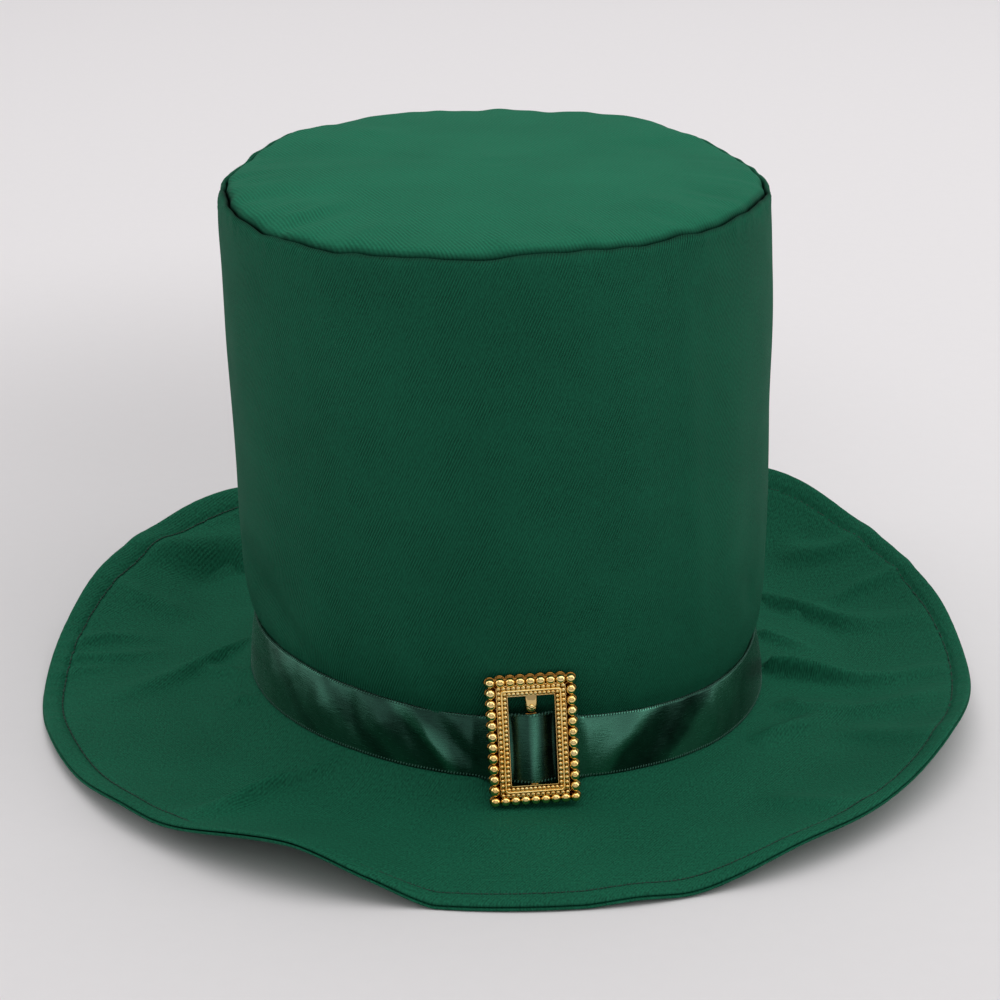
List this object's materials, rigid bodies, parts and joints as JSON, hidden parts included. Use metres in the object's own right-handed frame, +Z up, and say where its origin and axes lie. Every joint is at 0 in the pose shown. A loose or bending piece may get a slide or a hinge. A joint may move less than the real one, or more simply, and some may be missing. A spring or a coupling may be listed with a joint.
{
  "type": "leprechaun costume top hat",
  "caption": "Tall green twill top hat with a floppy brim, a satin ribbon band and a beaded gold buckle, standing on its brim.",
  "frame": {"origin": "middle of the hat's bounding box on the surface that the brim rests on", "axes": "+Z up through the crown, -Y towards the front, where the buckle is, +X to the right as seen from the front"},
  "size_m": [0.3322, 0.3294, 0.1922],
  "materials": {
    "twill": "matt polyester twill, fine diagonal rib",
    "satin": "glossy satin ribbon with stitched edges",
    "gold": "bright gold metallised plastic"
  },
  "bodies": {
    "root": {"crown_tip": "twill", "crown_side": "twill", "brim_upper": "twill", "brim_under": "twill", "band_ribbon": "satin", "buckle": "gold"}
  },
  "joints": []
}
